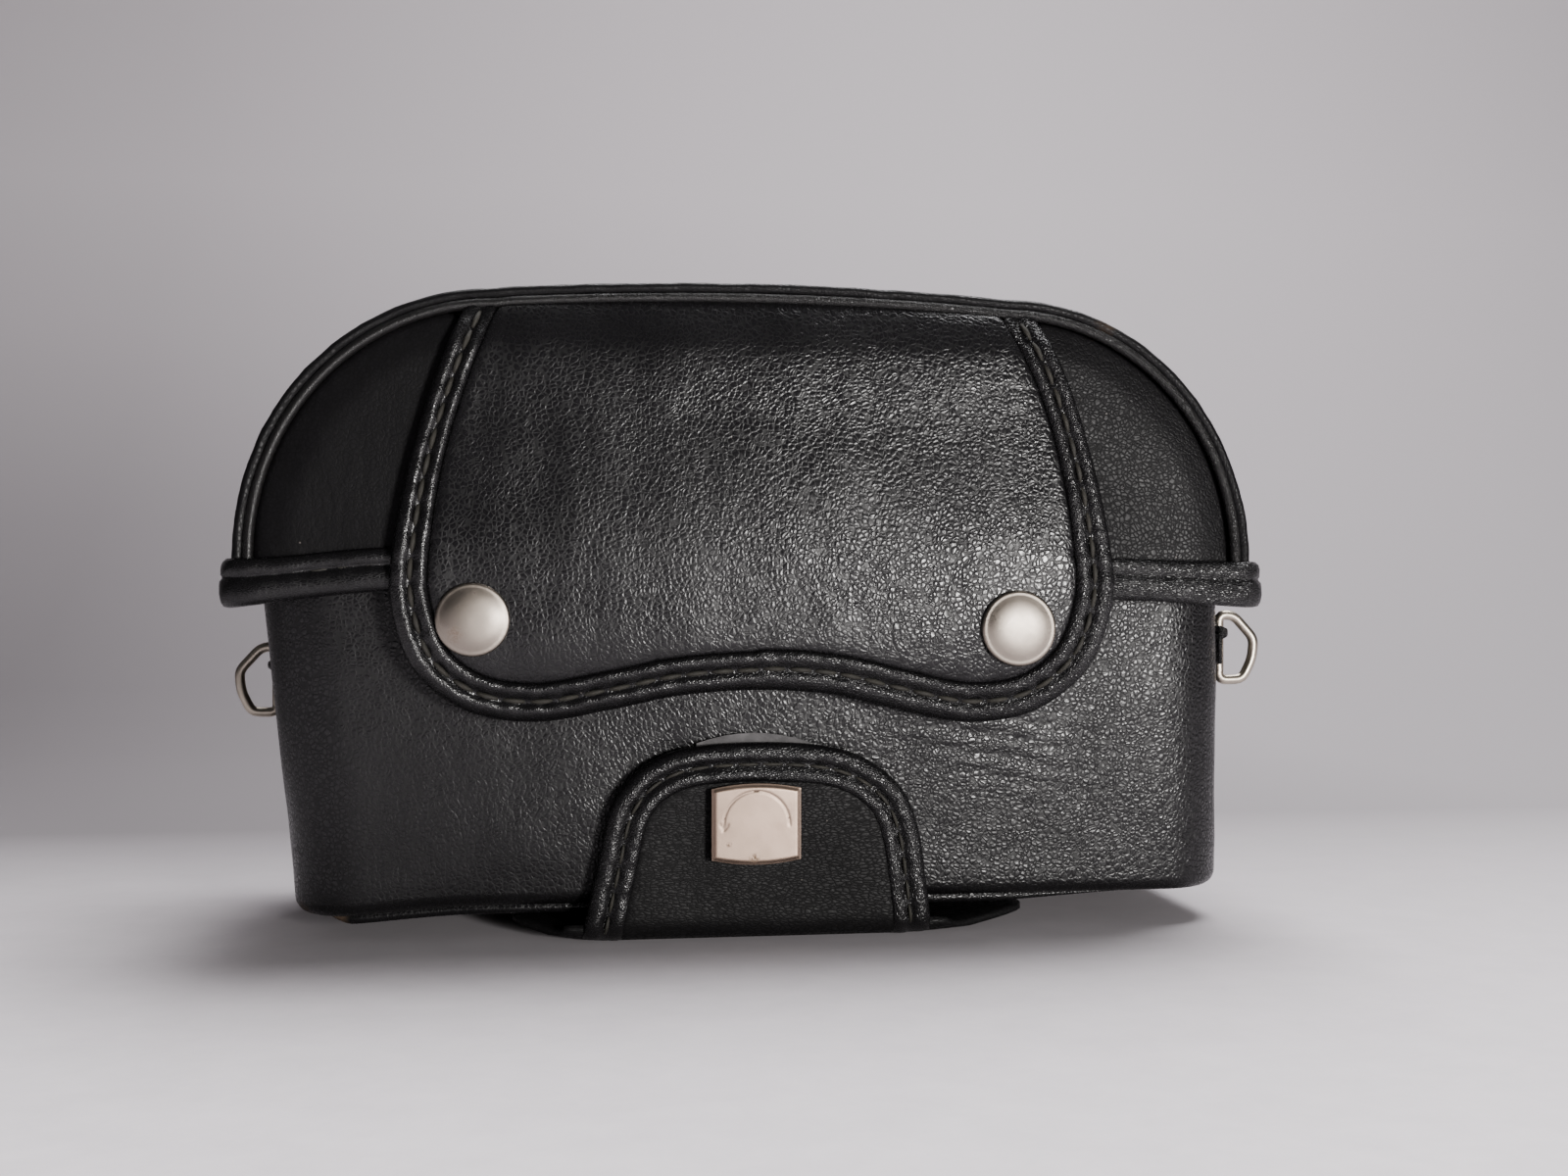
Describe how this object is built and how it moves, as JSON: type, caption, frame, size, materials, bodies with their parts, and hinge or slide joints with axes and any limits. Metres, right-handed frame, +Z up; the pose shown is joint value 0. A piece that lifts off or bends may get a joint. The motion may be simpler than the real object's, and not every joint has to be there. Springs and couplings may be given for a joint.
{
  "type": "stereo camera in ever-ready case",
  "caption": "Stereo camera buttoned into its arch-topped black leather ever-ready case, with snapped front flap, turn-lock tab and strap rings.",
  "frame": {"origin": "on the ground under the middle of the case, on the underside of the flat base flap", "axes": "+Z up; the front with its flap and lock faces -Y; +X is the right-hand side seen from the front"},
  "size_m": [0.1897, 0.0794, 0.1124],
  "materials": {
    "case_leather": "worn black pebbled leather, satin",
    "binding_leather": "black binding leather, slightly glossy",
    "suede": "brown suede lining, matte",
    "nickel": "satin nickel, aged",
    "steel": "plain steel",
    "satin_chrome": "satin chrome",
    "black_paint": "black enamel",
    "leatherette": "black grained covering",
    "lens_glass": "coated optical glass",
    "brass": "turned brass"
  },
  "bodies": {
    "lower_case": {"lower_case_shell": "case_leather", "lower_case_lining": "suede", "back_hinge_strip": "case_leather", "rear_foot_strip": "case_leather", "ring_loop_left": "case_leather", "ring_loop_right": "case_leather", "snap_stud_left": "steel", "snap_stud_right": "steel", "strike_plate": "nickel", "camera_body": "leatherette", "camera_bottom_plate": "satin_chrome", "camera_top_plate": "satin_chrome", "tripod_bush": "brass", "camera_back_door": "leatherette", "pressure_plate": "black_paint", "pressure_spring": "steel", "lens_board": "black_paint", "lens_mount_left": "satin_chrome", "lens_mount_right": "satin_chrome", "front_lens_left": "lens_glass", "front_lens_right": "lens_glass", "shutter_blades_left": "steel", "shutter_blades_right": "steel", "finder_front_window": "lens_glass", "finder_eyepiece": "lens_glass", "accessory_shoe": "satin_chrome"},
    "top_cover": {"cover_front_panel": "case_leather", "cover_back_panel": "case_leather", "cover_gusset": "case_leather", "cover_lining": "suede", "cover_front_piping": "binding_leather", "cover_back_piping": "binding_leather", "cover_band": "binding_leather"},
    "front_flap": {"front_flap_panel": "case_leather", "front_flap_binding": "binding_leather", "snap_cap_left": "nickel", "snap_cap_right": "nickel", "snap_socket_left": "steel", "snap_socket_right": "steel"},
    "base_flap": {"base_flap_sheet": "case_leather"},
    "tab": {"tab_panel": "case_leather", "tab_binding": "binding_leather"},
    "lock_button": {"lock_plate": "nickel", "lock_post": "steel"},
    "strap_ring_left": {"ring_left": "nickel"},
    "strap_ring_right": {"ring_right": "nickel"},
    "retaining_screw": {"case_screw": "nickel"},
    "release_button": {"shutter_button": "satin_chrome"},
    "advance": {"advance_knob": "satin_chrome", "take_up_spool": "black_paint"},
    "rewind": {"rewind_knob": "satin_chrome", "rewind_fork": "steel"},
    "sprocket": {"sprocket_shaft": "steel"},
    "counter": {"frame_counter": "black_paint"},
    "aperture_left": {"aperture_ring_left": "black_paint"},
    "aperture_right": {"aperture_ring_right": "black_paint"},
    "focus_left": {"focus_ring_left": "satin_chrome"},
    "focus_right": {"focus_ring_right": "satin_chrome"}
  },
  "joints": [
    {"name": "cover_hinge", "type": "hinge", "parent": "lower_case", "child": "top_cover", "pos_m": [0, 0.036, 0.058], "axis": [-1, 0, 0], "range_deg": [0, 135]},
    {"name": "flap_hinge", "type": "hinge", "parent": "top_cover", "child": "front_flap", "pos_m": [0, -0.0356, 0.1079], "axis": [-1, 0, 0], "range_deg": [0, 140]},
    {"name": "base_flap_hinge", "type": "hinge", "parent": "lower_case", "child": "base_flap", "pos_m": [0, 0.0242, 0.001], "axis": [1, 0, 0], "range_deg": [0, 60]},
    {"name": "tab_fold", "type": "hinge", "parent": "base_flap", "child": "tab", "pos_m": [0, -0.0346, 0.0018], "axis": [1, 0, 0], "range_deg": [0, 90]},
    {"name": "lock_turn", "type": "hinge", "parent": "tab", "child": "lock_button", "pos_m": [0, -0.0366, 0.0203], "axis": [0, -1, 0], "range_deg": [0, 90]},
    {"name": "ring_left_swing", "type": "hinge", "parent": "lower_case", "child": "strap_ring_left", "pos_m": [-0.0846, 0.004, 0.0433], "axis": [0, 0, 1], "range_deg": [-75, 75]},
    {"name": "ring_right_swing", "type": "hinge", "parent": "lower_case", "child": "strap_ring_right", "pos_m": [0.0897, -0.018, 0.0492], "axis": [0, 0, 1], "range_deg": [-75, 75]},
    {"name": "case_screw_turn", "type": "hinge", "parent": "lower_case", "child": "retaining_screw", "pos_m": [0, 0.008, 0.008], "axis": [0, 0, 1], "continuous": true},
    {"name": "shutter_press", "type": "slide", "parent": "lower_case", "child": "release_button", "axis": [0, 0, -1], "range_m": [0, 0.002], "stiffness_N_per_m": 300},
    {"name": "advance_turn", "type": "hinge", "parent": "lower_case", "child": "advance", "pos_m": [-0.061, 0.008, 0.08], "axis": [0, 0, 1], "continuous": true},
    {"name": "rewind_turn", "type": "hinge", "parent": "lower_case", "child": "rewind", "pos_m": [0.061, 0.008, 0.08], "axis": [0, 0, 1], "continuous": true},
    {"name": "sprocket_turn", "type": "hinge", "parent": "lower_case", "child": "sprocket", "pos_m": [-0.0506, 0.012, 0.04], "axis": [0, 0, 1], "continuous": true},
    {"name": "counter_turn", "type": "hinge", "parent": "lower_case", "child": "counter", "pos_m": [-0.033, 0.014, 0.075], "axis": [0, 0, 1], "continuous": true},
    {"name": "aperture_left_turn", "type": "hinge", "parent": "lower_case", "child": "aperture_left", "pos_m": [-0.035, -0.0129, 0.046], "axis": [0, -1, 0], "range_deg": [0, 60]},
    {"name": "aperture_right_turn", "type": "hinge", "parent": "lower_case", "child": "aperture_right", "pos_m": [0.035, -0.0129, 0.046], "axis": [0, -1, 0], "range_deg": [0, 60]},
    {"name": "focus_left_turn", "type": "hinge", "parent": "lower_case", "child": "focus_left", "pos_m": [-0.035, -0.019, 0.046], "axis": [0, -1, 0], "range_deg": [0, 120]},
    {"name": "focus_right_turn", "type": "hinge", "parent": "lower_case", "child": "focus_right", "pos_m": [0.035, -0.019, 0.046], "axis": [0, -1, 0], "range_deg": [0, 120]}
  ],
  "couplings": [
    {"joint": "sprocket_turn", "follows": "advance_turn", "ratio": 2},
    {"joint": "counter_turn", "follows": "advance_turn", "ratio": 0.1},
    {"joint": "aperture_right_turn", "follows": "aperture_left_turn", "ratio": 1},
    {"joint": "focus_right_turn", "follows": "focus_left_turn", "ratio": 1}
  ]
}
